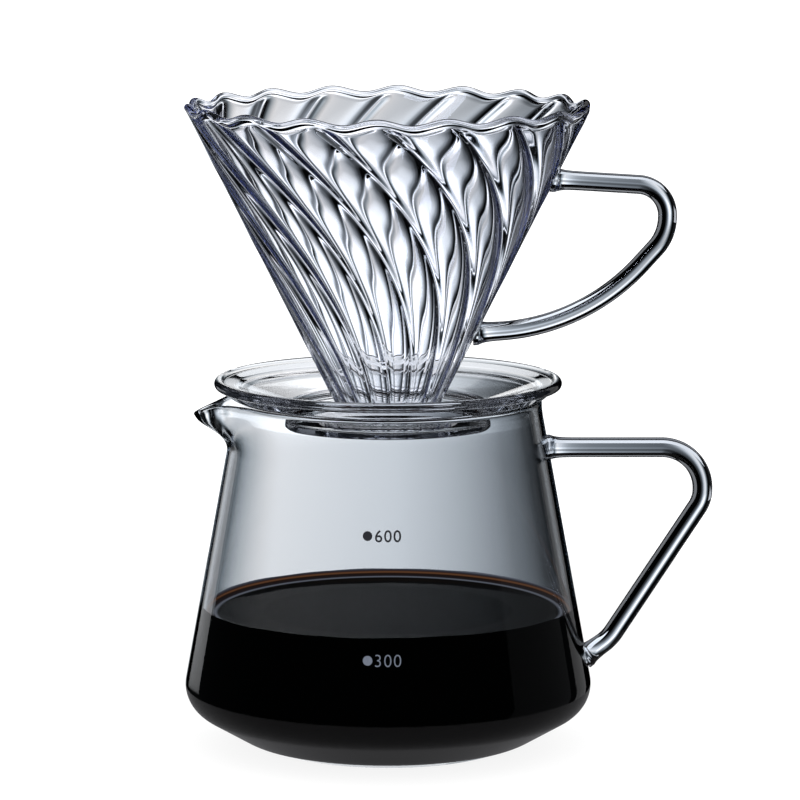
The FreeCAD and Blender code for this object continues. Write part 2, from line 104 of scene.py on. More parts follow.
# Lip: its bead and how many radians that wraps past level; and its wave, which runs down from the
# rim, fades away near the outlet and lags the ribs by some degrees of their own turn.
LIP_RAD = 1.2 * MM
LIP_UP = 0.4 * MM
LIP_WRAP = 0.9
LIP_WAVE = 0.9 * MM
LIP_FLARE = 0.5 * MM
LIP_WAVE_RUN = 7.0 * MM
LIP_WAVE_FADE = 6
LIP_LAG = 55.0

# Ribs: how far they stand in and out of the wall, how that grows with the cone's radius, how they
# fade into the lip, how round their ridges are, how much thinner the wall is between them and how
# steeply the flutes rise to them: near the rim, deep in the cone and on the outside.
RIBS = 18
RIB_IN = 1.6 * MM
RIB_OUT = 0.15 * MM
RIB_GROWTH = 1.05
RIB_ABOVE_RIM = 1.2 * MM
RIB_FADE = 3.0 * MM
RIDGE_ROUND = 0.045
FLUTE_CUT = 0.5 * MM
STEEP_RIM = 3.2
STEEP_DEEP = 3.0
STEEP_RUN = 22.0 * MM
STEEP_OUTSIDE = 8.0

# Swirl: how many degrees the ribs turn from rim to outlet, and how that gathers towards the rim.
SWIRL = 64.0
SWIRL_POWER = 1.65

# Saucer: the bead round its edge; the corners of its underside, with the seat on the server's mouth
# and the step that drops inside it; and the corners of its dish.
SAUCER_RAD = 51.5 * MM
SAUCER_UP = BASE_HIGH.z
SAUCER_HOLE = 12.0 * MM
BEAD = 1.45 * MM
SEAT_UP = 104.05 * MM
STEP_RAD = 30.2 * MM
STEP_UP = BASE_LOW.z
STEP_WALL = 2.0 * MM
WELL_RAD = STEP_RAD - STEP_WALL
WELL_UP = STEP_UP + STEP_WALL
UNDERSIDE = [
    (SAUCER_HOLE, STEP_UP),
    (STEP_RAD, STEP_UP),
    (STEP_RAD, 100.0 * MM),
    (42.5 * MM, SEAT_UP),
    (45.9 * MM, SEAT_UP),
    (49.6 * MM, 107.4 * MM),
]
UNDERSIDE_ROUNDS = [1.3 * MM, 1.5 * MM, 3.0 * MM, 5.0 * MM]
DISH = [
    (48.0 * MM, 108.75 * MM),
    (44.5 * MM, 108.1 * MM),
    (WELL_RAD, 102.7 * MM),
    (WELL_RAD, WELL_UP),
    (SAUCER_HOLE, WELL_UP),
]
DISH_ROUNDS = [5.0 * MM, 1.6 * MM, 1.6 * MM]

# Handles: the corners of each centreline in the XZ plane, their rounding and the rod's radius.
JUG_GRIP = np.array([(45.0, 89.1), (93.4, 89.1), (93.4, 73.5), (66.0, 31.4), (56.5, 24.4)]) * MM
JUG_GRIP_ROUNDS = np.array([12.2, 10.0, 14.0]) * MM
JUG_ROD = 2.99 * MM
CUP_GRIP = np.array([(46.0, 169.1), (82.3, 166.9), (82.3, 152.4), (57.9, 125.5), (22.0, 123.2)]) * MM
CUP_GRIP_ROUNDS = np.array([9.0, 13.5, 61.0]) * MM
CUP_ROD = 2.85 * MM

# Where a rod meets the wall: its flared radius, how fast that falls off, how deep it sinks into the
# wall, and how many of its rings are kept behind the wall's face.
WELD_RAD = 3.8 * MM
WELD_RUN = 1.7 * MM
WELD_SINK = 0.4 * MM
WELD_RINGS = 5

# Volume marks: the middle of each, its digits, the dot before them and the layer of ink.
MARK_600_UP = 71.5 * MM
MARK_300_UP = 36.4 * MM
DIGIT_SIZE = 4.75 * MM
DIGIT_SPACING = 1.12
DIGITS_HALF = 3.75 * MM
DIGITS_TALL = 3.45 * MM
DOT_RAD = 1.38 * MM
DOT_LEFT = 5.9 * MM
INK_HALF = 0.05 * MM
INK_LIFT = 0.03 * MM

# How fine the meshes are: steps along outlines and along their arcs, and rings and points.
JUG_STEP = 1.6 * MM
JUG_ARC_STEP = 0.7 * MM
JUG_SIDES = 288
COFFEE_SIDES = 256
CONE_RINGS = 100
RIB_POINTS = 24
LIP_RINGS = 17
SAUCER_STEP = 1.5 * MM
UNDERSIDE_ARC_STEP = 0.5 * MM
DISH_ARC_STEP = 0.4 * MM
SAUCER_SIDES = 256
ROD_STEP = 0.3 * MM
ROD_SIDES = 128
DIGIT_CURVE_STEPS = 6
DOT_SIDES = 40
DISC_SIDES = 96


# ---------------------------------------------------------------- mesh helpers
def add_mesh(name, points, faces, materials):
    """A smooth-shaded mesh object from points and faces."""
    mesh = bpy.data.meshes.new(name)
    mesh.from_pydata([tuple(p) for p in points], [], [tuple(f) for f in faces])
    mesh.polygons.foreach_set("use_smooth", [True] * len(mesh.polygons))
    for material in materials:
        mesh.materials.append(material)
    mesh.update()
    piece = bpy.data.objects.new(name, mesh)
    bpy.context.scene.collection.objects.link(piece)
    return piece


def turns(count):
    """The angles of points spread evenly round a circle."""
    return np.arange(count) * 2 * math.pi / count


def ring_faces(rows, columns, wrap):
    """Quads between rings of points; with wrap, the last ring joins the first."""
    faces = []
    for i in range(rows if wrap else rows - 1):
        low, high = i * columns, ((i + 1) % rows) * columns
        for j in range(columns):
            k = (j + 1) % columns
            faces.append((low + j, low + k, high + k, high + j))
    return faces


def capped_faces(rows, columns):
    """Quads between rings of points, with one face that closes each end."""
    faces = ring_faces(rows, columns, False)
    last = (rows - 1) * columns
    faces.append(tuple(range(columns - 1, -1, -1)))
    faces.append(tuple(range(last, last + columns)))
    return faces


def arc_points(centre, radius, start, end, count):
    """Points along an arc in the plane of radius and height, angles in degrees."""
    angles = np.radians(np.linspace(start, end, count))
    return [
        np.array([centre[0] + radius * math.cos(a), centre[1] + radius * math.sin(a)])
        for a in angles
    ]


def rounded(corners, rounds, step):
    """A polyline whose inner corners are rounded by arcs of the given radii."""
    corners = [np.array(c, float) for c in corners]
    path = [corners[0]]
    for before, here, after, radius in zip(corners, corners[1:], corners[2:], rounds):
        into = (here - before) / np.linalg.norm(here - before)
        out = (after - here) / np.linalg.norm(after - here)
        turn = math.acos(max(-1.0, min(1.0, float(into @ out))))
        start = here - into * radius * math.tan(turn / 2)
        side = out - into * float(into @ out)
        side /= np.linalg.norm(side)
        count = max(3, int(radius * turn / step) + 1)
        for k in range(count + 1):
            a = turn * k / count
            path.append(start + side * radius * (1 - math.cos(a)) + into * radius * math.sin(a))
    path.append(corners[-1])
    return path


def fine(path, step):
    """The path with extra points, so that none are further apart than step."""
    out = [path[0]]
    for a, b in zip(path[:-1], path[1:]):
        count = max(1, int(math.ceil(np.linalg.norm(b - a) / step)))
        out += [a + (b - a) * k / count for k in range(1, count + 1)]
    return np.array(out)


def turn_outline(outline, sides):
    """Points of an outline of (radius, height) turned about the axis, ring by ring."""
    angles = turns(sides)
    radius, height = outline[:, :1], outline[:, 1:]
    x = radius * np.sin(angles)
    y = -radius * np.cos(angles)
    return np.stack([x, y, np.broadcast_to(height, x.shape)], axis=2).reshape(-1, 3)


def smoothstep(value):
    """0 up to 0, 1 from 1 on and a smooth rise between."""
    value = np.clip(value, 0.0, 1.0)
    return value * value * (3 - 2 * value)


def bell(place, width):
    """1 in the middle, falling off smoothly to both sides."""
    return np.exp(-((place / width) ** 2))


# ---------------------------------------------------------------- material helpers
def new_material(name):
    """A material with an empty node tree."""
    material = bpy.data.materials.new(name)
    material.use_nodes = True
    tree = material.node_tree
    tree.nodes.clear()
    return material, tree


def node(tree, kind, inputs=None, **settings):
    """A new node with some of its inputs and settings filled in."""
    made = tree.nodes.new(kind)
    for key, value in settings.items():
        setattr(made, key, value)
    for key, value in (inputs or {}).items():
        made.inputs[key].default_value = value
    return made


def set_ramp(ramp, stops):
    """Give a colour ramp its stops, as (position, colour) pairs."""
    elements = ramp.color_ramp.elements
    for i, (spot, colour) in enumerate(stops):
        stop = elements[i] if i < 2 else elements.new(spot)
        stop.position, stop.color = spot, (*colour, 1)


def glass(name, tint, density, wave=0.02 * MM):
    """Smoky glass with faint waves; a metre of it lets exp((tint - 1) * density) of light through."""
    material, tree = new_material(name)
    out = node(tree, "ShaderNodeOutputMaterial")
    surface = node(
        tree,
        "ShaderNodeBsdfPrincipled",
        {
            "Base Color": (1, 1, 1, 1),
            "Roughness": 0.0,
            "IOR": 1.47,
            "Transmission Weight": 1.0,
        },
    )
    depth = node(tree, "ShaderNodeVolumeAbsorption", {"Color": tint, "Density": density})
    place = node(tree, "ShaderNodeTexCoord")
    ripple = node(tree, "ShaderNodeTexNoise", {"Scale": 38.0, "Detail": 1.0})
    bump = node(tree, "ShaderNodeBump", {"Strength": 0.35, "Distance": wave})
    tree.links.new(place.outputs["Object"], ripple.inputs["Vector"])
    tree.links.new(ripple.outputs["Fac"], bump.inputs["Height"])
    tree.links.new(bump.outputs["Normal"], surface.inputs["Normal"])
    tree.links.new(surface.outputs["BSDF"], out.inputs["Surface"])
    tree.links.new(depth.outputs["Volume"], out.inputs["Volume"])
    return material


def mottled(name, finish, texture, dark, light):
    """A material whose colour wanders between dark and light."""
    material, tree = new_material(name)
    out = node(tree, "ShaderNodeOutputMaterial")
    surface = node(tree, "ShaderNodeBsdfPrincipled", finish)
    place = node(tree, "ShaderNodeTexCoord")
    cloud = node(tree, "ShaderNodeTexNoise", texture)
    ramp = node(tree, "ShaderNodeValToRGB")
    set_ramp(ramp, [(0.0, dark), (1.0, light)])
    tree.links.new(place.outputs["Object"], cloud.inputs["Vector"])
    tree.links.new(cloud.outputs["Fac"], ramp.inputs["Fac"])
    tree.links.new(ramp.outputs["Color"], surface.inputs["Base Color"])
    tree.links.new(surface.outputs["BSDF"], out.inputs["Surface"])
    return material


def coffee_black():
    """Black coffee, which mirrors the room only faintly."""
    return mottled(
        "coffee_black",
        {"Roughness": 0.02, "IOR": COFFEE_IOR, "Specular Tint": COFFEE_SHEEN},
        {"Scale": 30.0, "Detail": 2.0},
        (0.005, 0.003, 0.0025),
        (0.009, 0.006, 0.005),
    )


def ink(name, colour):
    """Fired ceramic ink, very slightly uneven."""
    dark, light = (tuple(share * c for c in colour) for share in (0.85, 1.15))
    return mottled(name, {"Roughness": 0.55}, {"Scale": 2200.0, "Detail": 2.0}, dark, light)


# Painted light glowing in the coffee's edge, from its foot to its top: a grey reflection, black,
# brown light through the coffee, black and grey, all painted.
SKIN_FOOT = COFFEE_UP + 0.1 * MM
SKIN_GLOW_COLOURS = [
    (0.03, (0.003, 0.003, 0.003)),
    (0.09, (0.13, 0.14, 0.17)),
    (0.17, (0.012, 0.01, 0.012)),
    (0.4, (0.012, 0.006, 0.004)),
    (0.55, (0.13, 0.055, 0.025)),
    (0.68, (0.03, 0.015, 0.012)),
    (0.85, (0.035, 0.038, 0.05)),
    (1.0, (0.12, 0.13, 0.16)),
]


def coffee_edge_glow():
    """The thin edge of coffee that climbs the glass, with painted light: it glows with a painted
    brown of light through the coffee and painted grey reflections.
    """
    material, tree = new_material("coffee_edge_glow")
    out = node(tree, "ShaderNodeOutputMaterial")
    surface = node(
        tree,
        "ShaderNodeBsdfPrincipled",
        {
            "Roughness": 0.02,
            "IOR": COFFEE_IOR,
            "Specular Tint": COFFEE_SHEEN,
            "Base Color": (0.01, 0.006, 0.004, 1),
            "Emission Strength": 1.0,
        },
    )
    place = node(tree, "ShaderNodeTexCoord")
    split = node(tree, "ShaderNodeSeparateXYZ")
    span = {"From Min": SKIN_FOOT, "From Max": COFFEE_UP + MENISCUS}
    height = node(tree, "ShaderNodeMapRange", span)
    ramp = node(tree, "ShaderNodeValToRGB")
    set_ramp(ramp, SKIN_GLOW_COLOURS)
    tree.links.new(place.outputs["Object"], split.inputs["Vector"])
    tree.links.new(split.outputs["Z"], height.inputs["Value"])
    tree.links.new(height.outputs["Result"], ramp.inputs["Fac"])
    # Painted light: the ramp's brown and grey glow from the edge as emission.
    tree.links.new(ramp.outputs["Color"], surface.inputs["Emission Color"])
    tree.links.new(surface.outputs["BSDF"], out.inputs["Surface"])
    return material


# ---------------------------------------------------------------- server
def wall_radius(height, inset=0.0):
    """Radius of the server's straight wall at a height, inset from its outer face."""
    share = (height - BELLY[1]) / (NECK[1] - BELLY[1])
    return BELLY[0] + (NECK[0] - BELLY[0]) * share - inset


def inner_outline(overlap):
    """The inside of the server's glass from the floor's middle to the neck, grown by an overlap."""
    corners = [
        (AXIS_RAD, FLOOR - overlap),
        (FOOT_RAD, FLOOR - overlap),
        (INNER_HEEL[0], INNER_HEEL[1] - overlap),
        (INNER_BELLY[0] + overlap, INNER_BELLY[1] - overlap),
        (wall_radius(NECK[1], WALL) + overlap, NECK[1]),
    ]
    return rounded(corners, INNER_ROUNDS, JUG_ARC_STEP)


def pull_spout(points):
    """Draw the rim out and down into a spout on the -X side."""
    x, y, z = points.T.copy()
    rise = smoothstep((z - SPOUT_ROOT) / (MOUTH_UP - SPOUT_ROOT))
    side = np.where(x < 0, 1.0, 0.0) * smoothstep(-x / SPOUT_SIDE)
    nose = bell(y, NOSE_WIDTH) * rise
    flare = (1 - NOSE_SHARE * rise) * bell(y, FLARE_WIDTH)
    out = SPOUT_OUT * rise * side * (NOSE_SHARE * nose + flare)
    drop = SPOUT_DROP * side * smoothstep((z - SPOUT_DROP_ROOT) / (MOUTH_UP - SPOUT_DROP_ROOT))
    drop = drop * (0.5 * bell(y, NARROW_DROP) + 0.5 * bell(y, WIDE_DROP))
    return np.stack([x - out, y, z - drop], axis=1)


def server_glass(material):
    """The jug: one closed skin, outside, over the rolled rim and back down inside."""
    rim_centre = (MOUTH_RAD - RIM_BEAD_IN, MOUTH_UP - RIM_BEAD)
    rim_root = (rim_centre[0] + RIM_BEAD, MOUTH_UP - RIM_BEAD_ROOT)
    corners = [(AXIS_RAD, 0.0), (FOOT_RAD, 0.0), HEEL, BELLY, NECK, rim_root]
    outer = rounded(corners, OUTER_ROUNDS, JUG_ARC_STEP)
    rim = arc_points(rim_centre, RIM_BEAD, start=0, end=180, count=13)
    outline = fine(outer + rim + inner_outline(0.0)[::-1], JUG_STEP)
    points = pull_spout(turn_outline(outline, JUG_SIDES))
    return add_mesh("server_glass", points, capped_faces(len(outline), JUG_SIDES), [material])


def coffee_pool(black, skin):
    """Coffee that wets the glass, with a meniscus round its edge that has the material with the
    painted glow of light.
    """
    side = fine(inner_outline(COFFEE_OVERLAP), JUG_STEP)
    top = COFFEE_UP + MENISCUS
    side = side[side[:, 1] < top]
    edge = wall_radius(top, WALL) + COFFEE_OVERLAP
    surface = [np.array([edge, top])]
    for run in MENISCUS_RINGS:
        climb = MENISCUS * math.exp(-run / MENISCUS_RUN)
        surface.append(np.array([edge - run, COFFEE_UP + climb]))
    surface.append(np.array([AXIS_RAD, COFFEE_UP]))
    outline = np.array(list(side) + surface)
    points = turn_outline(outline, COFFEE_SIDES)
    turn = np.arctan2(points[:, 0], -points[:, 1])
    ripple = sum(share * np.sin(waves * turn + lag) for share, waves, lag in RIPPLE_WAVES)
    lift = smoothstep((points[:, 2] - COFFEE_UP) / MENISCUS)
    points[:, 2] += MENISCUS_RIPPLE * ripple * lift
    faces = capped_faces(len(outline), COFFEE_SIDES)
    pool = add_mesh("coffee_pool", points, faces, [black, skin])
    # The meniscus faces get the material with the painted glow of light.
    skin_start = len(side) * COFFEE_SIDES
    skin_end = (len(side) + len(surface) - 2) * COFFEE_SIDES
    for i, face in enumerate(pool.data.polygons):
        face.material_index = int(skin_start <= i < skin_end)
    return pool


def digit_shape(name, number, stroke):
    """Points and faces of a flat number, as wide and tall as the marks; stroke thickens it."""
    letters = bpy.data.curves.new(name + "_text", "FONT")
    letters.body = number
    letters.size = DIGIT_SIZE
    letters.space_character = DIGIT_SPACING
    letters.align_x = "LEFT"
    letters.extrude = INK_HALF
    letters.resolution_u = DIGIT_CURVE_STEPS
    letters.offset = stroke
    flat = bpy.data.objects.new(name + "_flat", letters)
    bpy.context.scene.collection.objects.link(flat)
    graph = bpy.context.evaluated_depsgraph_get()
    mesh = bpy.data.meshes.new_from_object(flat.evaluated_get(graph))
    bpy.data.objects.remove(flat)
    points = np.array([tuple(v.co) for v in mesh.vertices])
    faces = [tuple(p.vertices) for p in mesh.polygons]
    bpy.data.meshes.remove(mesh)
    wide, tall, _ = points.max(axis=0) - points.min(axis=0)
    points[:, 0] = -DIGITS_HALF + (points[:, 0] - points[:, 0].min()) * (2 * DIGITS_HALF / wide)
    points[:, 1] = (points[:, 1] - points[:, 1].min()) * (DIGITS_TALL / tall)
    return list(points), faces


def dot_shape(base):
    """Points and faces of the flat dot; base is how many points there are before its own."""
    points = [
        (math.cos(a) * DOT_RAD - DOT_LEFT, math.sin(a) * DOT_RAD + DIGITS_TALL / 2, lift)
        for lift in (-INK_HALF, INK_HALF)
        for a in turns(DOT_SIDES)
    ]
    back, front = base, base + DOT_SIDES
    faces = [tuple(range(front - 1, back - 1, -1)), tuple(range(front, front + DOT_SIDES))]
    for i in range(DOT_SIDES):
        k = (i + 1) % DOT_SIDES
        faces.append((back + i, back + k, front + k, front + i))
    return points, faces


def mark(name, number, height, stroke, material):
    """A printed dot and number, wrapped onto the front of the server."""
    points, faces = digit_shape(name, number, stroke)
    dot_points, dot_faces = dot_shape(len(points))
    wrapped = []
    for across, up, lift in points + dot_points:
        z = height - DIGITS_TALL / 2 + up
        radius = wall_radius(z) + lift + INK_LIFT
        wrapped.append((radius * math.sin(across / radius), -radius * math.cos(across / radius), z))
    piece = add_mesh(name, wrapped, faces + dot_faces, [material])
    piece.data.polygons.foreach_set("use_smooth", [False] * len(piece.data.polygons))
    return piece


# ---------------------------------------------------------------- dripper
def cone_radius(height):
    """Radius of the cone's smooth outer face at a height."""
    return END_RAD + (RIM_RAD - END_RAD) * (height - END_UP) / (RIM_UP - END_UP)


def flute(phases, power):
    """How far a flute has risen towards its ribs: 0 in mid-panel, 1 on the rib's rounded ridge."""
    off = np.abs((phases + math.pi) % (2 * math.pi) - math.pi) / math.pi
    return (1 - np.sqrt(off**2 + RIDGE_ROUND**2)).clip(0, 1) ** power


def fluted_ring(radius, height, rise, power, phases):
    """One ring of the cone's skin, which follows the ribs as they swirl."""
    left = min(max((height - END_UP) / (RIM_UP - END_UP), 0.0), 1.0)
    twist = math.radians(SWIRL * (1 - left**SWIRL_POWER))
    below = max(RIM_UP - height, 0.0)
    share = math.exp(-below / LIP_WAVE_RUN) * float(smoothstep(left * LIP_WAVE_FADE))
    angle = twist + phases / RIBS
    wave = share * np.cos(phases + math.radians(LIP_LAG))
    reach = radius + rise * flute(phases, power) + LIP_FLARE * wave
    return np.stack([reach * np.sin(angle), -reach * np.cos(angle), height + LIP_WAVE * wave], axis=1)


def cone_glass(material):
    """The fluted cone: one closed skin up the outside, over the lip and down the inside."""
    phases = np.arange(RIBS * RIB_POINTS) * 2 * math.pi / RIB_POINTS
    lean = math.atan((RIM_RAD - END_RAD) / (RIM_UP - END_UP))
    across = CONE_WALL / math.cos(lean)
    outer, inner = [], []
    for height in np.linspace(END_UP, RIM_UP, CONE_RINGS):
        radius = cone_radius(height)
        inner_radius = radius - across + FLUTE_CUT
        below = RIM_UP - height
        fade = float(smoothstep((below + RIB_ABOVE_RIM) / RIB_FADE))
        share = (radius / RIM_RAD) ** RIB_GROWTH * fade
        steep = STEEP_DEEP + (STEEP_RIM - STEEP_DEEP) * math.exp(-below / STEEP_RUN)
        outer.append(fluted_ring(radius, height, RIB_OUT * share, STEEP_OUTSIDE, phases))
        inner.append(fluted_ring(inner_radius, height, -RIB_IN * share, steep, phases))
    lip = []
    for turn in np.linspace(-LIP_WRAP, math.pi + LIP_WRAP, LIP_RINGS)[1:-1]:
        radius = RIM_RAD - across / 2 + LIP_RAD * math.cos(turn)
        height = RIM_UP + LIP_UP + LIP_RAD * math.sin(turn)
        lip.append(fluted_ring(radius, height, 0.0, 1.0, phases))
    rings = outer[:-1] + lip + inner[-2::-1]
    faces = ring_faces(len(rings), len(phases), True)
    return add_mesh("cone_glass", np.concatenate(rings), faces, [material])


def saucer_glass(material):
    """The saucer: beaded edge, seat on the server's mouth and a step that drops inside it."""
    under = rounded(UNDERSIDE, UNDERSIDE_ROUNDS, UNDERSIDE_ARC_STEP)
    bead_centre = (SAUCER_RAD - BEAD, SAUCER_UP - BEAD)
    bead = arc_points(bead_centre, BEAD, start=-50, end=165, count=18)
    dish = rounded(DISH, DISH_ROUNDS, DISH_ARC_STEP)
    outline = fine(under + bead + dish, SAUCER_STEP)
    points = turn_outline(outline, SAUCER_SIDES)
    faces = ring_faces(len(outline), SAUCER_SIDES, True)
    return add_mesh("saucer_glass", points, faces, [material])


# ---------------------------------------------------------------- handles
def wall_x(radius_at, y, z):
    """Where a round wall's outer face is on the +X side; radius_at gives its radius at a height."""
    return math.sqrt(max(radius_at(z) ** 2 - y * y, 0.0))


def rod(name, corners, rounds, radius, radius_at, material):
    """A glass rod along a rounded centreline, flaring into the wall at both ends."""
    path = fine(rounded(corners, rounds, ROD_STEP), ROD_STEP)
    steps = np.linalg.norm(np.diff(path, axis=0), axis=1)
    along = np.concatenate([[0], np.cumsum(steps)])
    outside = path[:, 0] > np.array([wall_x(radius_at, 0.0, z) for _, z in path])
    first = int(np.argmax(outside))
    last = len(path) - 1 - int(np.argmax(outside[::-1]))
    points = []
    for i, (x, z) in enumerate(path):
        tangent = path[min(i + 1, len(path) - 1)] - path[max(i - 1, 0)]
        tangent /= np.linalg.norm(tangent)
        reach = max(0.0, min(along[i] - along[first], along[last] - along[i]))
        thick = radius + (WELD_RAD - radius) * math.exp(-reach / WELD_RUN)
        for a in turns(ROD_SIDES):
            up, out = math.cos(a) * thick, math.sin(a) * thick
            px, py, pz = x - tangent[1] * up, -out, z + tangent[0] * up
            points.append((max(px, wall_x(radius_at, py, pz) - WELD_SINK), py, pz))
    keep = slice(max(first - WELD_RINGS, 0), min(last + WELD_RINGS + 1, len(path)))
    points = np.array(points).reshape(len(path), ROD_SIDES, 3)[keep]
    faces = capped_faces(len(points), ROD_SIDES)
    return add_mesh(name, points.reshape(-1, 3), faces, [material])


# ---------------------------------------------------------------- camera and studio
# The camera's place, aim and lens, and the object's middle in the camera's own axes.
CAMERA_SPOT = (0.0, -1.387, 0.3131)
CAMERA_AIM = Vector((3.55 * MM, 0.0, 103.3 * MM))
CAMERA_LENS = 213.1
OBJECT_SPOT = Vector((0.0, 0.0, -1.41))

# The round table top, and the ring of light under the heel.
TABLE_RAD = 0.32
TABLE_UP = -0.02 * MM
GLOW_IN = 0.038
GLOW_OUT = 0.11
GLOW_UP = -0.01 * MM

# Strengths across and up the backdrop and the box on the left, and colours across the backdrop.
BACKDROP_ACROSS = [
    (-0.44, 0.0), (-0.34, 0.12), (-0.21, 0.72), (-0.12, 1.17), (0.0, 0.93),
    (0.05, 0.69), (0.12, 0.29), (0.2, 0.08), (0.33, 0.0),
]
BACKDROP_UPWARD = [
    (-0.8, 0.0), (-0.7, 0.8), (-0.35, 1.0), (-0.15, 1.0), (-0.03, 1.05), (0.02, 1.6),
    (0.09, 1.6), (0.18, 0.68), (0.3, 0.6), (0.42, 1.6), (0.56, 1.6), (0.6, 0.0),
]
BACKDROP_COLOURS = [
    (-0.32, (0.78, 0.91, 1.0)), (-0.14, (1.0, 0.99, 0.985)), (0.14, (0.83, 0.915, 1.0)),
]
LEFT_ACROSS = [(-0.25, 0.75), (0.2, 0.75), (0.25, 0.3)]
LEFT_UPWARD = [(-0.14, 0.0), (-0.04, 0.9), (0.14, 1.0)]


def make_camera():
    """A long lens 1.4 m in front of the object, looking 8.6 degrees down."""
    data = bpy.data.cameras.new("camera")
    data.lens = CAMERA_LENS
    data.sensor_width = 36.0
    data.clip_start, data.clip_end = 0.1, 50.0
    camera = bpy.data.objects.new("camera", data)
    bpy.context.scene.collection.objects.link(camera)
    camera.location = CAMERA_SPOT
    camera.rotation_mode = "QUATERNION"
    camera.rotation_quaternion = (CAMERA_AIM - camera.location).to_track_quat("-Z", "Y")
    bpy.context.scene.camera = camera
    return camera


def make_world():
    """White for the camera and for matt surfaces, a dark room for glass and gloss."""
    world = bpy.data.worlds.new("studio")
    bpy.context.scene.world = world
    world.use_nodes = True
    tree = world.node_tree
    tree.nodes.clear()
    out = node(tree, "ShaderNodeOutputWorld")
    path = node(tree, "ShaderNodeLightPath")
    white = node(tree, "ShaderNodeBackground", {"Color": (1, 1, 1, 1), "Strength": 1.5})
    room = node(tree, "ShaderNodeBackground", {"Color": (0.8, 0.9, 1, 1), "Strength": 0.01})
    mix = node(tree, "ShaderNodeMixShader")
    either = node(tree, "ShaderNodeMath", operation="MAXIMUM")
    tree.links.new(path.outputs["Is Camera Ray"], either.inputs[0])
    tree.links.new(path.outputs["Is Diffuse Ray"], either.inputs[1])
    tree.links.new(either.outputs[0], mix.inputs["Fac"])
    tree.links.new(room.outputs[0], mix.inputs[1])
    tree.links.new(white.outputs[0], mix.inputs[2])
    tree.links.new(mix.outputs[0], out.inputs["Surface"])


def even(reach, strength):
    """The same strength from -reach to reach, as (metres, strength) pairs."""
    return [(-reach, strength), (reach, strength)]


def strength_curve(tree, source, steps):
    """A value that passes through the given (metres, strength) pairs."""
    low, high = steps[0][0], steps[-1][0]
    peak = max(strength for _, strength in steps)
    share = node(tree, "ShaderNodeMapRange", {"From Min": low, "From Max": high})
    ramp = node(tree, "ShaderNodeValToRGB")
    stops = [((place - low) / (high - low), (strength / peak,) * 3) for place, strength in steps]
    set_ramp(ramp, stops)
    lift = node(tree, "ShaderNodeMath", operation="MULTIPLY")
    lift.inputs[1].default_value = peak
    tree.links.new(source, share.inputs["Value"])
    tree.links.new(share.outputs["Result"], ramp.inputs["Fac"])
    tree.links.new(ramp.outputs["Color"], lift.inputs[0])
    return lift.outputs[0]


def emitter(name, colour, across, upward=None, colours=None):
    """Light whose strength changes across and perhaps up its card, as (metres, strength) pairs.

    With colours, as (metres, colour) pairs, its colour changes across the card as well."""
    material, tree = new_material(name)
    out = node(tree, "ShaderNodeOutputMaterial")
    light = node(tree, "ShaderNodeEmission", {"Color": (*colour, 1), "Strength": 1.0})
    tree.links.new(light.outputs["Emission"], out.inputs["Surface"])
    place = node(tree, "ShaderNodeTexCoord")
    split = node(tree, "ShaderNodeSeparateXYZ")
    tree.links.new(place.outputs["Object"], split.inputs["Vector"])
    strength = strength_curve(tree, split.outputs["X"], across)
    if upward:
        upward_strength = strength_curve(tree, split.outputs["Y"], upward)
        product = node(tree, "ShaderNodeMath", operation="MULTIPLY")
        tree.links.new(strength, product.inputs[0])
        tree.links.new(upward_strength, product.inputs[1])
        strength = product.outputs[0]
    tree.links.new(strength, light.inputs["Strength"])
    if colours:
        low, high = colours[0][0], colours[-1][0]
        share = node(tree, "ShaderNodeMapRange", {"From Min": low, "From Max": high})
        ramp = node(tree, "ShaderNodeValToRGB")
        set_ramp(ramp, [((spot - low) / (high - low), shade) for spot, shade in colours])
        tree.links.new(split.outputs["X"], share.inputs["Value"])
        tree.links.new(share.outputs["Result"], ramp.inputs["Fac"])
        tree.links.new(ramp.outputs["Color"], light.inputs["Color"])
    return material


def card(name, camera, place, size, light):
    """A studio card that turns with the camera, faces the object and shows in glass and gloss."""
    across, tall = size[0] / 2, size[1] / 2
    corners = [(-across, -tall, 0), (across, -tall, 0), (across, tall, 0), (-across, tall, 0)]
    made = add_mesh(name, corners, [(0, 1, 2, 3)], [light])
    made.parent = camera
    made.location = place
    forward = (OBJECT_SPOT - Vector(place)).normalized()
    right = Vector((0, 1, 0)).cross(forward).normalized()
    turned = Matrix((right, forward.cross(right), forward)).transposed()
    made.rotation_mode = "QUATERNION"
    made.rotation_quaternion = turned.to_quaternion()
    made.visible_camera = False
    made.visible_diffuse = False
    made.visible_shadow = False
    return made


def make_table():
    """A round white table top, which glass and gloss don't see."""
    material, tree = new_material("table_white")
    out = node(tree, "ShaderNodeOutputMaterial")
    matt = node(tree, "ShaderNodeBsdfDiffuse", {"Color": (0.16, 0.16, 0.16, 1)})
    glow = node(tree, "ShaderNodeEmission", {"Color": (1, 1, 1, 1), "Strength": 0.88})
    both = node(tree, "ShaderNodeAddShader")
    tree.links.new(matt.outputs[0], both.inputs[0])
    tree.links.new(glow.outputs[0], both.inputs[1])
    tree.links.new(both.outputs[0], out.inputs["Surface"])
    rim = [(TABLE_RAD * math.sin(a), -TABLE_RAD * math.cos(a), 0.0) for a in turns(DISC_SIDES)]
    table = add_mesh("table", rim, [tuple(range(DISC_SIDES))], [material])
    table.location.z = TABLE_UP
    table.visible_glossy = False
    table.visible_transmission = False


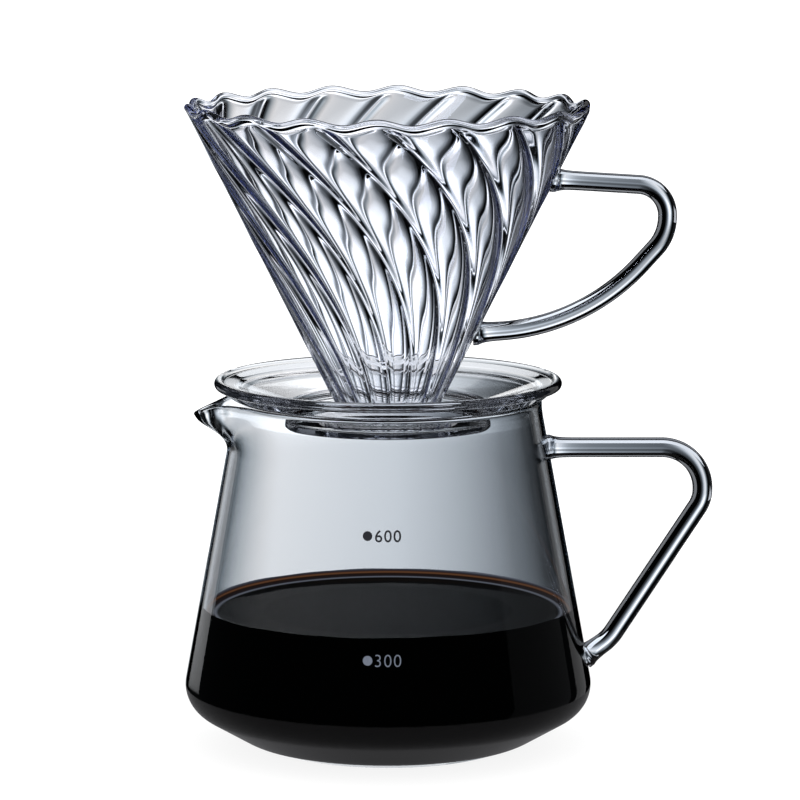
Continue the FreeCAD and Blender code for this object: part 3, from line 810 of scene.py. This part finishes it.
def make_cards(camera):
    """A bright backdrop far behind the object and soft boxes round it, in the camera's axes."""
    light = emitter("backdrop_light", (1, 1, 1), BACKDROP_ACROSS, BACKDROP_UPWARD, BACKDROP_COLOURS)
    card("backdrop", camera, (0.0, 0.0, -2.92), (1.6, 4.4), light)
    light = emitter("key_light", (0.74, 0.81, 1.0), even(0.42, 6.0))
    key = card("key_box", camera, (-0.36, 0.5, -0.74), (0.5, 0.3), light)
    key.visible_transmission = False
    light = emitter("over_light", (1.0, 1.0, 1.03), even(0.4, 0.35))
    card("over_box", camera, (0.0, 0.63, -2.04), (0.9, 0.16), light)
    light = emitter("blind_light", (0.9, 0.95, 1.0), even(0.45, 0.06))
    card("blind", camera, (0.95, 0.0, -1.55), (0.9, 1.4), light)
    light = emitter("side_light", (0.97, 0.98, 1.0), even(0.15, 0.25))
    card("side_box", camera, (0.62, 0.0, -2.15), (0.3, 1.2), light)
    light = emitter("left_light", (0.95, 0.97, 1.0), LEFT_ACROSS, LEFT_UPWARD)
    card("left_box", camera, (-0.78, 0.0, -2.45), (0.5, 0.28), light)
    light = emitter("sweep_light", (0.93, 0.96, 1.0), [(-0.55, 1.15), (0.0, 1.15), (0.55, 1.5)])
    card("sweep_box", camera, (0.0, -0.62, -2.85), (1.1, 0.5), light)
    light = emitter("low_light", (0.9, 0.93, 1.0), even(0.6, 0.3))
    card("low_box", camera, (0.0, -0.85, -2.05), (1.2, 0.5), light)


def make_heel_glow():
    """The light of the table under the server's heel, which shows only as a reflection."""
    points = [
        (radius * math.sin(a), -radius * math.cos(a), GLOW_UP)
        for radius in (GLOW_IN, GLOW_OUT)
        for a in turns(DISC_SIDES)
    ]
    light = emitter("heel_light", (1.0, 1.0, 1.04), even(GLOW_OUT, 0.16))
    ring = add_mesh("heel_glow", points, ring_faces(2, DISC_SIDES, False), [light])
    ring.visible_camera = False
    ring.visible_diffuse = False
    ring.visible_shadow = False
    ring.visible_transmission = False


# ---------------------------------------------------------------- build
scene = bpy.context.scene
scene.view_settings.view_transform = "Standard"
scene.cycles.max_bounces = 32
scene.cycles.transmission_bounces = 32
scene.cycles.glossy_bounces = 16
scene.cycles.transparent_max_bounces = 16
scene.cycles.caustics_reflective = False
scene.cycles.caustics_refractive = False

camera = make_camera()
make_world()
make_table()
make_cards(camera)
make_heel_glow()

SERVER_GLASS = glass("server_smoked", (0.33, 0.42, 0.52, 1), 125.0)
ROD_GLASS = glass("rod_smoked", (0.7, 0.74, 0.8, 1), 200.0, wave=0.002 * MM)
SAUCER_GLASS = glass("saucer_clear", (0.85, 0.88, 0.96, 1), 25.0)
CONE_GLASS = glass("cone_clear", (0.75, 0.8, 0.99, 1), 105.0, wave=0.006 * MM)

pieces = [
    (server_glass(SERVER_GLASS), "server", "server_body", "smoked_glass"),
    (rod("server_grip", JUG_GRIP, JUG_GRIP_ROUNDS, JUG_ROD, wall_radius, ROD_GLASS),
     "server", "server_handle", "rod_glass"),
    (coffee_pool(coffee_black(), coffee_edge_glow()), "server", "coffee", "coffee"),
    (mark("print_600", "600", MARK_600_UP, 0.04 * MM, ink("ink_dark", (0.012, 0.013, 0.02))),
     "server", "volume_mark_600", "dark_print"),
    (mark("print_300", "300", MARK_300_UP, -0.06 * MM, ink("ink_pale", (0.115, 0.135, 0.18))),
     "server", "volume_mark_300", "pale_print"),
    (cone_glass(CONE_GLASS), "dripper", "dripper_cone", "cone_glass"),
    (saucer_glass(SAUCER_GLASS), "dripper", "dripper_base", "saucer_glass"),
    (rod("dripper_grip", CUP_GRIP, CUP_GRIP_ROUNDS, CUP_ROD, cone_radius, ROD_GLASS),
     "dripper", "dripper_handle", "rod_glass"),
]
for piece, body, cad_node, slot in pieces:
    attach(piece, body)
    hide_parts(cad_node)
